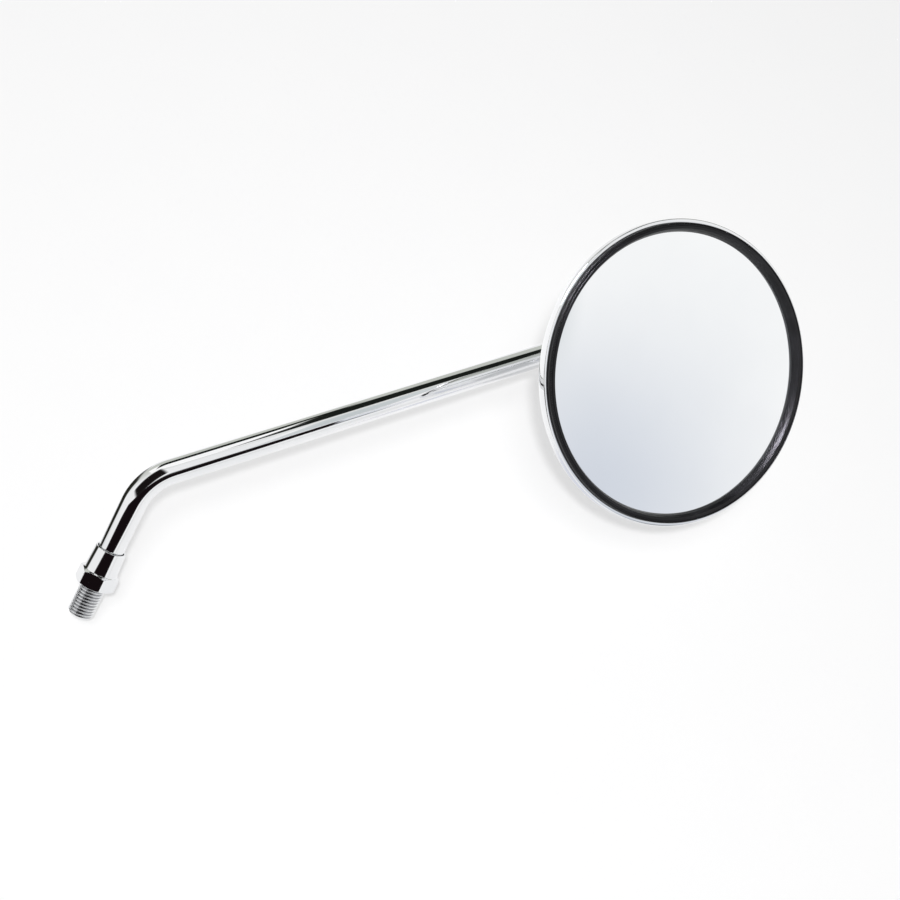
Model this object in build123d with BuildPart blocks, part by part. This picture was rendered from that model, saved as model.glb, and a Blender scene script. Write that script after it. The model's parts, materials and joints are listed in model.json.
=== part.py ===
from build123d import *
import os
from math import cos, radians, sin, sqrt, tan

# Round motorcycle mirror: a chromed head with a black rim, on a bent rod with a thread and a lock nut.
# The origin is on the thread's axis, in the plane where the lock nut bears on the handlebar clamp.
# +Z runs up the thread, +X outward along the stem, and the glass faces back to the rider, towards -Y.

# Stem: a rod bent outward above the nut, then back towards the rider behind the head
rod_d = 10.0
thread_free = 13.0
thread_engaged = 9.0
thread_engaged_d = 9.6
tip_chamfer = 1.0
relief_width = 2.0
relief_depth = 0.9
leg_height = 46.5
leg_bend = 55.0
leg_bend_radius = 20.0
run_length = 216.0
neck_length = 40.0
neck_bend_radius = 18.0

# End of the stem: a turned neck, and a spigot that is riveted over in the ball
shoulder_gap = 14.0
shoulder_taper = 1.5
neck_d = 7.5
spigot_d = 6.0
rivet_flare = 1.0

# Lock nut: a hexagon with a tapered skirt
nut_across_flats = 14.0
nut_hex_height = 6.5
nut_turn = 20.0
nut_chamfer_angle = 30.0
skirt_foot_d = 13.2
skirt_top_d = 12.0
skirt_height = 9.5
skirt_rim_round = 0.25
skirt_foot_round = 0.3
nut_threaded = 8.0
nut_mouth_chamfer = 0.7

# Swivel: a ball held between two nylon seats
ball_d = 18.0
ball_land = 0.4
ball_nose_flat = 1.4
rear_seat_wall = 1.6
front_seat_wall = 1.8
rear_seat_mouth_angle = 53.0
rear_seat_rim_angle = 75.0
front_seat_hole_angle = 22.0
front_seat_rim_angle = 62.0

# How the head is set on the ball in its stored pose
head_pan = -17.0
head_tilt = 11.0

# Shell: a pressed bowl with a domed back and a spherical socket in its middle
ball_to_rim = 27.8
bowl_radius = 64.7
shell_wall = 1.2
wall_depth = 2.6
shell_edge_round = 0.5
dome_radius = 140.0
shoulder_radius = 8.0
socket_fillet = 4.0
opening_angle = 51.0

# Rim gasket, glass and pad
gasket_nose = 1.8
gasket_outer_round = 0.6
gasket_wall = 3.0
gasket_bevel = 1.3
gasket_mouth_round = 0.5
gasket_groove_inset = 1.4
gasket_groove_width = 0.8
gasket_front_lap = 1.1
gasket_rear_lap = 2.3
gasket_rear_lip = 1.2
glass_recess = 3.4
glass_thickness = 2.5
glass_arris = 0.4
pad_margin = 10.3
pad_thickness = 2.0

# Clamp: a dished plate pressed on the front seat by three studs with spring washers
clamp_edge_gap = 0.8
clamp_thickness = 1.5
clamp_radius = 28.0
clamp_dish_angle = 25.0
stud_count = 3
stud_d = 4.0
stud_circle_radius = 21.0
stud_end = 1.0
stud_foot_d = 8.0
stud_foot_height = 1.4
stud_tip_chamfer = 0.5
stud_hole_play = 0.25
spring_d = 9.0
spring_thickness = 0.5
spring_height = 1.0
spring_edge = 0.6
washer_d = 9.0
washer_thickness = 0.8
stud_nut_across_flats = 7.0
stud_nut_height = 3.2

# Clearances
press_gap = 0.01
running_gap = 0.05
rubber_gap = 0.05
skirt_gap = 0.3
washer_play = 0.15

# Path of the stem's axis, and the centre of the ball
rod_r = rod_d / 2
run_direction = Vector(sin(radians(leg_bend)), 0, cos(radians(leg_bend)))
neck_direction = Vector(0, -1, 0)
tip = Vector(0, 0, -thread_free)
leg_corner = Vector(0, 0, leg_height)
head_corner = leg_corner + run_direction * run_length
ball_center = head_corner + neck_direction * neck_length
shoulder = ball_center - neck_direction * shoulder_gap

# Section plane of the stem's end: x away from the neck's axis, y along it towards the glass
neck_axis = Axis(ball_center, neck_direction)
neck_section = Plane(ball_center, x_dir=(1, 0, 0), z_dir=Vector(1, 0, 0).cross(neck_direction))

# Head frame: z along the head's axis out of the glass, and a section plane with x radial and y along that axis
head_across = Vector(cos(radians(head_pan)), sin(radians(head_pan)), 0)
head_level = Vector(sin(radians(head_pan)), -cos(radians(head_pan)), 0)
head_facing = head_level * cos(radians(head_tilt)) + Vector(0, 0, sin(radians(head_tilt)))
head_plane = Plane(ball_center, x_dir=head_across, z_dir=head_facing)
head_section = Plane(ball_center, x_dir=head_across, z_dir=head_across.cross(head_facing))
head_axis = Axis(ball_center, head_facing)

# Sizes that follow
ball_r = ball_d / 2
neck_r = neck_d / 2
spigot_r = spigot_d / 2
ball_back = sqrt(ball_r**2 - (neck_r + ball_land) ** 2)
ball_front = ball_r - ball_nose_flat
seat_inner = ball_r + running_gap
rear_seat_outer = seat_inner + rear_seat_wall
front_seat_outer = seat_inner + front_seat_wall
socket_radius = rear_seat_outer + running_gap + shell_wall
clamp_dish_inner = front_seat_outer + running_gap
shell_front = ball_to_rim - gasket_nose
bowl_inner = bowl_radius - shell_wall
dome_run = sqrt((dome_radius - shoulder_radius) ** 2 - (bowl_radius - shoulder_radius) ** 2)
dome_center = shell_front - wall_depth + dome_run
dome_inner = dome_radius - shell_wall
glass_front = ball_to_rim - glass_recess
glass_back = glass_front - glass_thickness
glass_radius = bowl_inner - gasket_wall - 2 * rubber_gap
gasket_radius = bowl_inner - rubber_gap
gasket_sight_radius = glass_radius - gasket_front_lap
gasket_mouth_radius = gasket_sight_radius + gasket_bevel
gasket_groove_radius = gasket_radius - gasket_groove_inset
gasket_rear_radius = glass_radius - gasket_rear_lap
pad_radius = glass_radius - pad_margin
clamp_level = dome_center - sqrt(dome_inner**2 - clamp_radius**2) + clamp_edge_gap
clamp_top = clamp_level + clamp_thickness
spring_top = clamp_top + spring_height
washer_top = spring_top + washer_thickness
stud_top = washer_top + stud_nut_height + stud_end
stud_hole_r = stud_d / 2 + stud_hole_play
washer_hole_r = stud_d / 2 + washer_play
nut_height = nut_hex_height + skirt_height
nut_corner_r = nut_across_flats / 2 / cos(radians(30))


def ball_zone(inner, outer, start, stop):
    """Section of a spherical ring about the ball, between two angles from the head's axis."""
    reach = 2 * outer
    with BuildSketch(head_section) as zone:
        Circle(outer)
        Circle(inner, mode=Mode.SUBTRACT)
        with BuildLine():
            Polyline(
                (0, 0),
                (reach * sin(radians(start)), reach * cos(radians(start))),
                (reach * sin(radians(stop)), reach * cos(radians(stop))),
                close=True,
            )
        make_face(mode=Mode.INTERSECT)
    return zone.sketch


def bowl_section(inset):
    """Filled half section of the shell, with its skin drawn in by the inset."""
    socket = socket_radius - inset
    wall = bowl_radius - inset
    front = shell_front + inset
    with BuildSketch(head_section) as section:
        with Locations((0, dome_center)):
            Circle(dome_radius - inset)
        with Locations((0, -socket_radius)):
            Rectangle(wall, front + socket_radius, align=(Align.MIN, Align.MIN), mode=Mode.INTERSECT)
        Circle(socket)
        with Locations((0, -2 * socket_radius)):
            Rectangle(wall, 4 * socket_radius + front, align=(Align.MAX, Align.MIN), mode=Mode.SUBTRACT)
        shoulder_corner = section.vertices().group_by(Axis.X)[-1].sort_by(Axis.Y)[0]
        fillet(shoulder_corner, radius=shoulder_radius - inset)
        front_corner = section.vertices().group_by(Axis.X)[-1].sort_by(Axis.Y)[-1]
        fillet(front_corner, radius=shell_edge_round)
        socket_corner = section.vertices().filter_by(lambda v: abs(sqrt(v.X**2 + v.Y**2) - socket) < 0.001)
        fillet(socket_corner.sort_by(Axis.X)[-1], radius=socket_fillet + inset)
    return section.sketch


# Stem, drawn in a little where its thread is in the nut, with its spigot riveted over in the ball
with BuildPart() as stem:
    with BuildLine() as stem_path:
        FilletPolyline(tip, leg_corner, head_corner, shoulder, radius=[leg_bend_radius, neck_bend_radius])
    with BuildSketch(Plane.XY.offset(-thread_free)):
        Circle(rod_r)
    sweep()
    chamfer(stem.edges().sort_by(Axis.Z)[0], length=tip_chamfer)
    with BuildSketch(Plane.XZ):
        with Locations((rod_r, thread_engaged / 2)):
            Rectangle(rod_d - thread_engaged_d, thread_engaged)
        with Locations((rod_r, thread_engaged + relief_width / 2)):
            Rectangle(2 * relief_depth, relief_width)
    revolve(axis=Axis.Z, mode=Mode.SUBTRACT)
    with BuildSketch(neck_section):
        with BuildLine():
            Polyline(
                (0, -shoulder_gap),
                (rod_r, -shoulder_gap),
                (neck_r, shoulder_taper - shoulder_gap),
                (neck_r, -ball_back),
                (spigot_r, -ball_back),
                (spigot_r, ball_front - rivet_flare),
                (spigot_r + rivet_flare, ball_front),
                (0, ball_front),
                close=True,
            )
        make_face()
    revolve(axis=neck_axis)
stem.part.label = "stem"

# Swivel ball, bored for the spigot and countersunk for its riveted end
with BuildPart() as swivel_ball:
    bore_r = spigot_r + press_gap
    with BuildSketch(neck_section):
        Circle(ball_r)
        with Locations((0, -ball_back)):
            Rectangle(ball_d, ball_back + ball_front, align=(Align.MIN, Align.MIN), mode=Mode.INTERSECT)
        with BuildLine():
            Polyline(
                (0, -ball_back),
                (bore_r, -ball_back),
                (bore_r, ball_front - rivet_flare),
                (bore_r + rivet_flare, ball_front),
                (0, ball_front),
                close=True,
            )
        make_face(mode=Mode.SUBTRACT)
    revolve(axis=neck_axis)
swivel_ball.part.label = "swivel_ball"

# Lock nut: hexagon chamfered at both ends, with a tapered skirt over the end of the thread
with BuildPart() as lock_nut:
    chamfer_drop = (nut_corner_r - nut_across_flats / 2) * tan(radians(nut_chamfer_angle))
    with BuildSketch():
        RegularPolygon(nut_across_flats / 2, 6, major_radius=False, rotation=nut_turn)
    extrude(amount=nut_hex_height)
    with BuildSketch(Plane.XZ):
        with BuildLine():
            Polyline(
                (0, 0),
                (nut_across_flats / 2, 0),
                (nut_corner_r, chamfer_drop),
                (nut_corner_r, nut_hex_height - chamfer_drop),
                (nut_across_flats / 2, nut_hex_height),
                (0, nut_hex_height),
                close=True,
            )
        make_face()
    revolve(axis=Axis.Z, mode=Mode.INTERSECT)
    with BuildSketch(Plane.XZ):
        with BuildLine():
            Polyline(
                (0, nut_hex_height),
                (skirt_foot_d / 2, nut_hex_height),
                (skirt_top_d / 2, nut_height),
                (0, nut_height),
                close=True,
            )
        make_face()
    revolve(axis=Axis.Z)
    skirt_foot = lock_nut.edges().filter_by(GeomType.CIRCLE).group_by(SortBy.RADIUS)
    fillet(skirt_foot[1], radius=skirt_foot_round)
    with Locations((0, 0, nut_height)):
        CounterBoreHole(rod_r + running_gap, rod_r + skirt_gap, nut_height - nut_threaded)
    skirt_rim = lock_nut.faces().sort_by(Axis.Z)[-1].edges()
    fillet(skirt_rim, radius=skirt_rim_round)
    nut_mouth = lock_nut.faces().sort_by(Axis.Z)[0].edges().filter_by(GeomType.CIRCLE).sort_by(SortBy.RADIUS)[0]
    chamfer(nut_mouth, length=nut_mouth_chamfer)
lock_nut.part.label = "lock_nut"

# Rear ball seat: nylon ring in the shell's socket
rear_zone = ball_zone(seat_inner, rear_seat_outer, 180 - rear_seat_rim_angle, 180 - rear_seat_mouth_angle)
with BuildPart() as rear_ball_seat:
    revolve(rear_zone, axis=head_axis)
rear_ball_seat.part.label = "rear_ball_seat"

# Front ball seat: nylon cup under the clamp plate
front_zone = ball_zone(seat_inner, front_seat_outer, front_seat_hole_angle, front_seat_rim_angle)
with BuildPart() as front_ball_seat:
    revolve(front_zone, axis=head_axis)
front_ball_seat.part.label = "front_ball_seat"

# Mirror shell: pressed bowl, open at the rim, with a conical mouth in its socket for the stem's neck
outer_skin = bowl_section(0)
inner_skin = bowl_section(shell_wall)
with BuildPart() as mirror_shell:
    mouth_reach = 2 * socket_radius
    revolve(outer_skin, axis=head_axis)
    revolve(inner_skin, axis=head_axis, mode=Mode.SUBTRACT)
    with BuildSketch(head_section):
        with BuildLine():
            Polyline(
                (0, 0),
                (mouth_reach * sin(radians(opening_angle)), -mouth_reach * cos(radians(opening_angle))),
                (0, -mouth_reach),
                close=True,
            )
        make_face()
    revolve(axis=head_axis, mode=Mode.SUBTRACT)
mirror_shell.part.label = "mirror_shell"

# Rim gasket: seats in the shell's mouth, stands out of it and has a channel for the glass
with BuildPart() as rim_gasket:
    with BuildSketch(head_section) as gasket_section:
        with BuildLine():
            Polyline(
                (gasket_radius, glass_front),
                (gasket_radius, ball_to_rim),
                (gasket_mouth_radius, ball_to_rim),
                (gasket_sight_radius, glass_front),
                (glass_radius + rubber_gap, glass_front),
                (glass_radius + rubber_gap, glass_back),
                (gasket_rear_radius, glass_back),
                (gasket_rear_radius, glass_back - gasket_rear_lip),
                (glass_radius, glass_back - gasket_rear_lip),
                close=True,
            )
        make_face()
        front_corners = gasket_section.vertices().group_by(Axis.Y)[-1].sort_by(Axis.X)
        fillet(front_corners[-1], radius=gasket_outer_round)
        front_corners = gasket_section.vertices().group_by(Axis.Y)[-1].sort_by(Axis.X)
        fillet(front_corners[0], radius=gasket_mouth_round)
        with Locations((gasket_groove_radius, ball_to_rim)):
            Circle(gasket_groove_width / 2, mode=Mode.SUBTRACT)
    revolve(axis=head_axis)
rim_gasket.part.label = "rim_gasket"

# Mirror glass, with its sharp edges taken off
with BuildPart() as mirror_glass:
    with BuildSketch(head_plane.offset(glass_back)):
        Circle(glass_radius)
    extrude(amount=glass_thickness)
    chamfer(mirror_glass.edges(), length=glass_arris)
mirror_glass.part.label = "mirror_glass"

# Glass pad: felt disc bonded to the back of the glass
with BuildPart() as glass_pad:
    with BuildSketch(head_plane.offset(glass_back - pad_thickness)):
        Circle(pad_radius)
    extrude(amount=pad_thickness)
glass_pad.part.label = "glass_pad"

# Clamp plate: pressed disc with a spherical dish over the front seat
with BuildPart() as clamp_plate:
    dish_outer = clamp_dish_inner + clamp_thickness
    with BuildSketch(head_section) as clamp_section:
        Circle(dish_outer)
        with Locations((0, clamp_level)):
            Rectangle(
                clamp_radius, dish_outer * cos(radians(clamp_dish_angle)) - clamp_level,
                align=(Align.MIN, Align.MIN), mode=Mode.INTERSECT,
            )
            Rectangle(clamp_radius, clamp_thickness, align=(Align.MIN, Align.MIN))
        Circle(clamp_dish_inner, mode=Mode.SUBTRACT)
    revolve(axis=head_axis)
    with BuildSketch(head_plane.offset(clamp_level)):
        with PolarLocations(stud_circle_radius, stud_count):
            Circle(stud_hole_r)
    extrude(amount=clamp_thickness, mode=Mode.SUBTRACT)
clamp_plate.part.label = "clamp_plate"

# Clamp studs: their flanged feet follow the inside of the dome, where they are welded
with BuildPart() as clamp_studs:
    foot_level = dome_center - sqrt(dome_inner**2 - stud_circle_radius**2)
    with BuildSketch(head_plane):
        with PolarLocations(stud_circle_radius, stud_count):
            Circle(stud_foot_d / 2)
    extrude(amount=foot_level + stud_foot_height)
    with BuildSketch(head_plane):
        with PolarLocations(stud_circle_radius, stud_count):
            Circle(stud_d / 2)
    extrude(amount=stud_top)
    stud_tips = clamp_studs.faces().sort_by(head_axis)[-stud_count:]
    chamfer(stud_tips.edges(), length=stud_tip_chamfer)
    with Locations(head_plane.offset(dome_center)):
        Sphere(dome_inner - press_gap, mode=Mode.INTERSECT)
clamp_studs.part.label = "clamp_studs"

# Disc springs: conical washers on the studs, wide on the plate and narrow under the nuts
with BuildPart(head_plane.offset(clamp_top)) as disc_springs:
    on_plate = (Align.CENTER, Align.CENTER, Align.MIN)
    with PolarLocations(stud_circle_radius, stud_count):
        Cone(spring_d / 2, washer_hole_r + spring_edge, spring_height, align=on_plate)
        Cone(
            spring_d / 2 - spring_edge, washer_hole_r, spring_height - spring_thickness,
            align=on_plate, mode=Mode.SUBTRACT,
        )
        Cylinder(washer_hole_r, spring_height, align=on_plate, mode=Mode.SUBTRACT)
disc_springs.part.label = "disc_springs"

# Stud washers
with BuildPart() as stud_washers:
    with BuildSketch(head_plane.offset(spring_top)):
        with PolarLocations(stud_circle_radius, stud_count):
            Circle(washer_d / 2)
            Circle(washer_hole_r, mode=Mode.SUBTRACT)
    extrude(amount=washer_thickness)
stud_washers.part.label = "stud_washers"

# Stud nuts
with BuildPart() as stud_nuts:
    with BuildSketch(head_plane.offset(washer_top)):
        with PolarLocations(stud_circle_radius, stud_count):
            RegularPolygon(stud_nut_across_flats / 2, 6, major_radius=False)
            Circle(stud_d / 2 + press_gap, mode=Mode.SUBTRACT)
    extrude(amount=stud_nut_height)
stud_nuts.part.label = "stud_nuts"

# One file for each piece
os.makedirs("parts", exist_ok=True)
pieces = (
    stem, swivel_ball, lock_nut, rear_ball_seat, front_ball_seat, mirror_shell, rim_gasket, mirror_glass,
    glass_pad, clamp_plate, clamp_studs, disc_springs, stud_washers, stud_nuts,
)
for piece in pieces:
    export_step(piece.part, f"parts/{piece.part.label}.step")
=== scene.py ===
"""Round motorcycle mirror: a chromed head with a black rim, on a bent chromed stem with a lock nut.

Lengths are in millimetres in the part's own frame (+Z up the thread, +X outward along the stem, the glass
towards -Y) and become metres where a mesh is made. Angles are in degrees unless a name says otherwise.
"""
import json
import logging
from abc import ABC, abstractmethod
from dataclasses import dataclass
from enum import Enum

import bpy
import numpy as np
from mathutils import Matrix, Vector
from numpy.typing import ArrayLike, NDArray


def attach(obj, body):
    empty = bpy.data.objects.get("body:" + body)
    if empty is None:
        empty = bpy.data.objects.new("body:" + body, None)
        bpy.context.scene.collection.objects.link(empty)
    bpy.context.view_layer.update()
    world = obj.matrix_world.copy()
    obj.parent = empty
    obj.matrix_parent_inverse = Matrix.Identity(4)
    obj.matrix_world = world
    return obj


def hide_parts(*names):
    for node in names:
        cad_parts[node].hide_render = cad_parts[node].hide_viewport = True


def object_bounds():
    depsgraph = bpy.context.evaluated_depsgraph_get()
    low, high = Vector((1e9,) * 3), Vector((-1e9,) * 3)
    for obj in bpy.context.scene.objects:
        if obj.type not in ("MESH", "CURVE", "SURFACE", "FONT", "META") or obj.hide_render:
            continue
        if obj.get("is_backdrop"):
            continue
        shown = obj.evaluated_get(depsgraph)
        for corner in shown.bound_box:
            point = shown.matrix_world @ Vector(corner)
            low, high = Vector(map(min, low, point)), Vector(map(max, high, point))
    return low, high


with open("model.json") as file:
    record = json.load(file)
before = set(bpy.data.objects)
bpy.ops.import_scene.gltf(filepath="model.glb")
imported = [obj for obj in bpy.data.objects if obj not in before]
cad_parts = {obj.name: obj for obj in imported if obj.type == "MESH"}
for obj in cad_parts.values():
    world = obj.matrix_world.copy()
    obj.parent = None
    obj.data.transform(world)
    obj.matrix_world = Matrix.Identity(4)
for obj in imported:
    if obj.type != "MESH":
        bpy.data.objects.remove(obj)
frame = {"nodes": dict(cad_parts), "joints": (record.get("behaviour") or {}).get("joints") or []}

Array = NDArray[np.float64]
Colour = tuple[float, float, float, float]
Triple = tuple[float, float, float]
Span = tuple[float, float]
Socket = bpy.types.NodeSocket

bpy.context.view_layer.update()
MM = 0.001
# Name of the point attribute that carries painted shade in the thread's grooves.
GROOVE_SHADE = "soil"
log = logging.getLogger("mirror")


class Body(Enum):
    """Bodies of the part that new pieces ride on."""

    STEM = "stem"
    LOCK_NUT = "lock_nut"
    HEAD = "head"


class Slot(Enum):
    """Material slots of the part."""

    CHROME = "chrome_plate"
    ZINC = "zinc_steel"
    NYLON = "nylon"
    RUBBER = "black_rubber"
    MIRROR = "silvered_glass"
    FELT = "felt"


class Ends(Enum):
    """How the rows of a surface end: joined into a ring, or closed by a fan at each end."""

    RING = "ring"
    FANS = "fans"


def unit(vector: ArrayLike) -> Array:
    """Vectors of length one along the last axis."""
    vector = np.asarray(vector, float)
    return vector / np.linalg.norm(vector, axis=-1, keepdims=True)


def turned(vector: Array, axis: Array, angle: Array) -> Array:
    """Turns a vector about an axis by each of a row of angles.

    The part of the vector across the axis goes round by the angle's cosine and, at right angles to it, by the
    angle's sine; the part along the axis stays.

    Args:
        vector: Vector to turn, shape (3,) or (rows, 3).
        axis: Unit vector of the axis.
        angle: Angles in radians, shape (rows,).

    Returns:
        Turned vectors, shape (rows, 3).
    """
    along = (vector @ axis)[..., None] * axis
    round_it = np.cos(angle)[:, None] * (vector - along)
    return along + round_it + np.sin(angle)[:, None] * np.cross(axis, vector)


def arc(center: Span, radius: float, start: float, stop: float, steps: int) -> Array:
    """Points of a circular arc in a section: the centre plus the radius times (cos a, sin a).

    Args:
        center: Centre of the arc.
        radius: Radius of the arc.
        start: First angle, from the section's first axis.
        stop: Last angle.
        steps: Number of points.

    Returns:
        Points, shape (steps, 2).
    """
    angle = np.radians(np.linspace(start, stop, steps))
    return np.asarray(center) + radius * np.stack([np.cos(angle), np.sin(angle)], axis=-1)


def rounded(corners: Array, radii: ArrayLike, steps: int = 6, hold: float = 0.03) -> Array:
    """Rounds the corners of a closed outline, or of many outlines side by side.

    Each corner becomes an arc that touches both of its sides: the centre lies on the bisector, at the radius
    over the sine of half the corner's angle, and the arc turns from one side's foot to the other's. A point a
    little before each foot keeps the shading of the flat sides flat.

    Args:
        corners: Corners, shape (corners, 2) or (corners, outlines, 2).
        radii: One radius for each corner.
        steps: Points on each arc.
        hold: Distance from a foot to the point before it.

    Returns:
        Points, shape (corners * (steps + 2), 2) or (corners * (steps + 2), outlines, 2).
    """
    back = unit(np.roll(corners, 1, axis=0) - corners)
    ahead = unit(np.roll(corners, -1, axis=0) - corners)
    half = 0.5 * np.arccos(np.clip(np.sum(back * ahead, axis=-1, keepdims=True), -1, 1))
    tail = (1,) * (corners.ndim - 1)
    radius = np.reshape(np.asarray(radii, float), (-1, *tail))
    foot = radius / np.tan(half)
    middle = corners + unit(back + ahead) * radius / np.sin(half)
    first = corners + back * foot
    last = corners + ahead * foot
    sweep = np.pi - 2 * half[:, None]
    share = np.linspace(0, 1, steps).reshape(1, steps, *tail)
    spokes = np.sin((1 - share) * sweep) * (first - middle)[:, None]
    spokes = spokes + np.sin(share * sweep) * (last - middle)[:, None]
    curve = middle[:, None] + spokes / np.sin(sweep)
    before, after = (first + back * hold)[:, None], (last + ahead * hold)[:, None]
    return np.concatenate([before, curve, after], axis=1).reshape(-1, *corners.shape[1:])


@dataclass(frozen=True)
class Axes:
    """A place on the part: an origin and three directions at right angles."""

    origin: Array
    x: Array
    y: Array
    z: Array

    @classmethod
    def along(cls, origin: ArrayLike, z: ArrayLike, x: ArrayLike) -> "Axes":
        """Axes with the given z direction, and x as near as it can be to the given one."""
        z = unit(z)
        y = unit(np.cross(z, x))
        return cls(np.asarray(origin, float), np.cross(y, z), y, z)

    def rows(self) -> Array:
        """The three directions, one in each row."""
        return np.stack([self.x, self.y, self.z])

    def place(self, local: Array) -> Array:
        """Carries points from these axes into the part's frame."""
        return self.origin + local @ self.rows()

    def revolve(self, section: Array, turns: Array) -> Array:
        """Carries a section round the z axis: radius times (cos t, sin t) across it, and height along it.

        Args:
            section: Radius and height of each row, shape (rows, 2) or (rows, turns, 2).
            turns: Angles of the columns in radians.

        Returns:
            Grid of points, shape (rows, turns, 3).
        """
        section = section if section.ndim == 3 else section[:, None]
        radius, height = section[..., 0], section[..., 1]
        local = np.broadcast_arrays(radius * np.cos(turns), radius * np.sin(turns), height)
        return self.place(np.stack(local, axis=-1))


def full_circle(count: int) -> Array:
    """Angles in radians of columns that go once round."""
    return np.arange(count) * 2 * np.pi / count


def mesh_object(name: str, points: Array, faces: list[list[int]]) -> bpy.types.Object:
    """Makes a mesh object of points in millimetres and the corners of its faces, in the scene."""
    mesh = bpy.data.meshes.new(name)
    mesh.from_pydata((points * MM).tolist(), [], faces)
    made = bpy.data.objects.new(name, mesh)
    bpy.context.scene.collection.objects.link(made)
    return made


def surface(name: str, grid: Array, ends: Ends, soil: Array | None = None) -> bpy.types.Object:
    """Makes a mesh object of a grid whose columns go round and close.

    Each face joins four neighbours of the grid. Where the rows don't close into a ring, a fan from the middle
    of the first row and one from the middle of the last row close the ends.

    Args:
        name: Name of the piece.
        grid: Points in millimetres, shape (rows, columns, 3), columns counter-clockwise about the rows' way.
        ends: How the rows end.
        soil: How deep the painted shade in a thread's grooves is at each point, from 0 to 1, shape (rows,
            columns).

    Returns:
        The new object, in the scene.
    """
    rows, columns = grid.shape[:2]
    points = grid.reshape(-1, 3)
    row = np.arange(rows if ends is Ends.RING else rows - 1)[:, None]
    column = np.arange(columns)
    beside = (column + 1) % columns
    here, above = row * columns, (row + 1) % rows * columns
    quads = np.stack([here + column, here + beside, above + beside, above + column], axis=-1).reshape(-1, 4)
    faces = quads.tolist()
    if ends is Ends.FANS:
        last = (rows - 1) * columns
        start, stop = np.full(columns, len(points)), np.full(columns, len(points) + 1)
        points = np.concatenate([points, grid[[0, -1]].mean(axis=1)])
        faces += np.stack([start, beside, column], axis=-1).tolist()
        faces += np.stack([stop, last + column, last + beside], axis=-1).tolist()
    piece = mesh_object(name, points, faces)
    piece.data.polygons.foreach_set("use_smooth", np.ones(len(faces), bool))
    # Painted shade: a point attribute that darkens the chrome in the thread's grooves.
    if soil is not None:
        shade = np.zeros(len(points))
        shade[:soil.size] = soil.ravel()
        piece.data.attributes.new(GROOVE_SHADE, "FLOAT", "POINT").data.foreach_set("value", shade)
    return piece


class Tone:
    """A number that varies over a surface: a node's socket that takes part in arithmetic."""

    def __init__(self, graph: "Graph", socket: Socket) -> None:
        """Wraps an output socket of a graph."""
        self.graph = graph
        self.socket = socket

    def _math(self, operation: str, first: "Tone | float", second: "Tone | float") -> "Tone":
        """Adds one Math node."""
        return self.graph.tone("ShaderNodeMath", {"operation": operation}, {0: first, 1: second})

    def __add__(self, other: "Tone | float") -> "Tone":
        """This plus the other."""
        return self._math("ADD", self, other)

    def __radd__(self, other: float) -> "Tone":
        """The other plus this."""
        return self._math("ADD", other, self)

    def __sub__(self, other: "Tone | float") -> "Tone":
        """This less the other."""
        return self._math("SUBTRACT", self, other)

    def __rsub__(self, other: float) -> "Tone":
        """The other less this."""
        return self._math("SUBTRACT", other, self)

    def __mul__(self, other: "Tone | float") -> "Tone":
        """This times the other."""
        return self._math("MULTIPLY", self, other)

    def __rmul__(self, other: float) -> "Tone":
        """The other times this."""
        return self._math("MULTIPLY", other, self)

    def __abs__(self) -> "Tone":
        """This without its sign."""
        return self._math("ABSOLUTE", self, 0.0)

    def step(self, low: float, high: float) -> "Tone":
        """Smooth step from 0 at the low value to 1 at the high one."""
        edges = {"Value": self, "From Min": low, "From Max": high, "To Min": 0.0, "To Max": 1.0}
        return self.graph.tone("ShaderNodeMapRange", {"interpolation_type": "SMOOTHSTEP"}, edges)


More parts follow.
